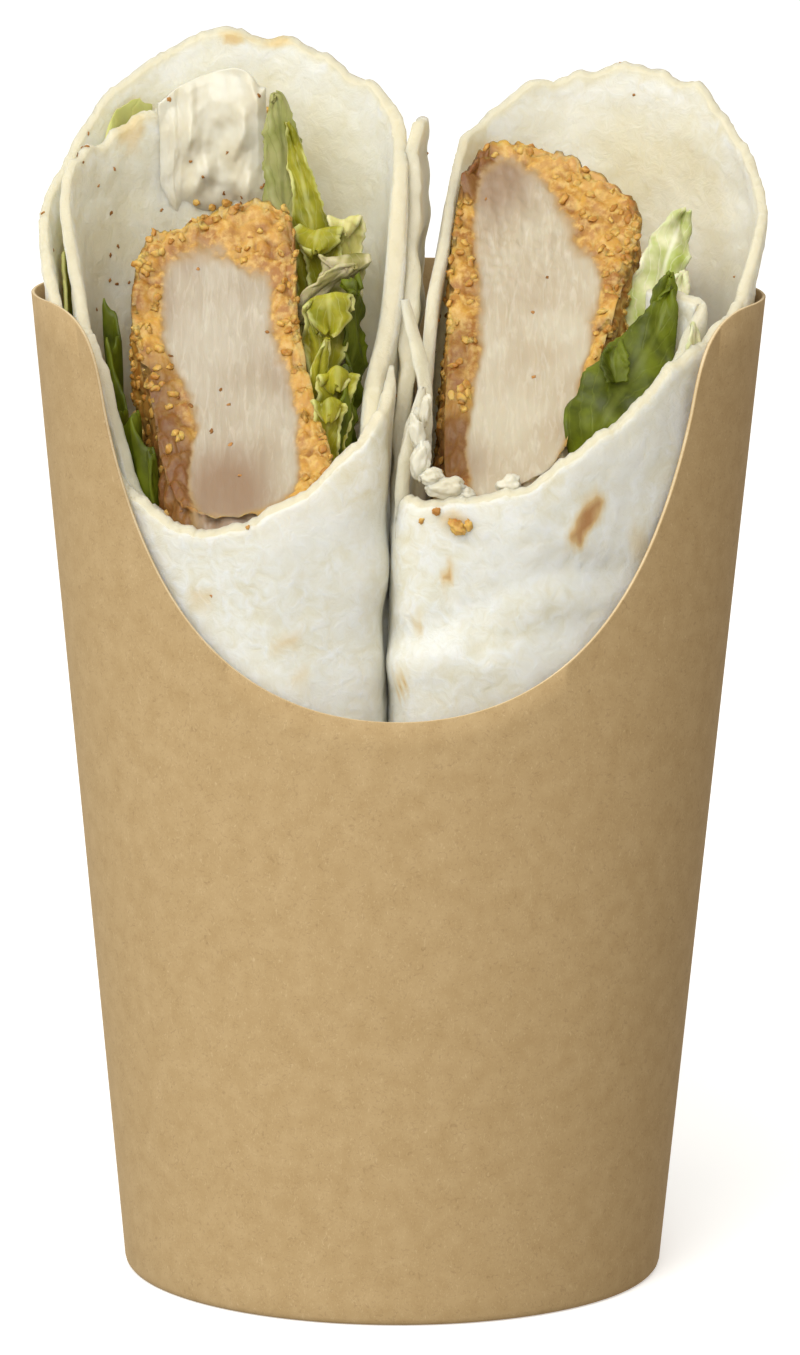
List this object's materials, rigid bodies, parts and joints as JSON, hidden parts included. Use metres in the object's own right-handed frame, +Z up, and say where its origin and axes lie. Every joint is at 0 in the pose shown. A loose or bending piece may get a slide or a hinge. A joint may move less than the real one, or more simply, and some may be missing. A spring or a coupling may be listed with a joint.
{
  "type": "chicken wrap in a board cup",
  "caption": "Crispy chicken wrap cut on the slant, both halves standing in a kraft board scoop cup with a low front; leaves and white sauce show at the cut.",
  "frame": {"origin": "middle of the cup's foot, on the surface that the cup stands on", "axes": "+Z up, -Y towards the low notch in the front of the cup, +X to the right seen from the front"},
  "size_m": [0.112, 0.0786, 0.1895],
  "materials": {
    "kraft_board": "matte uncoated kraft board",
    "flour_tortilla": "soft, faintly satin cooked dough",
    "fried_crumb": "craggy fried crumb",
    "white_sauce": "wet satin",
    "romaine": "waxy leaf",
    "spinach": "waxy leaf",
    "sauced_lettuce": "wet leaf"
  },
  "bodies": {
    "root": {"cup_sleeve": "kraft_board", "cup_base": "kraft_board", "tortilla_left": "flour_tortilla", "tortilla_right": "flour_tortilla", "chicken_left": "fried_crumb", "chicken_right": "fried_crumb", "sauce_left": "white_sauce", "leaf_left_between": "romaine", "leaf_left_side": "romaine", "leaf_left_dark": "spinach", "leaf_left_bright": "romaine", "leaf_left_yellow": "romaine", "leaf_left_sauced": "sauced_lettuce", "leaf_left_curl": "romaine", "leaf_left_fold": "romaine", "leaf_left_behind": "spinach", "leaf_right_pale": "romaine", "leaf_right_spinach": "spinach", "leaf_right_tuck": "spinach"}
  },
  "joints": []
}
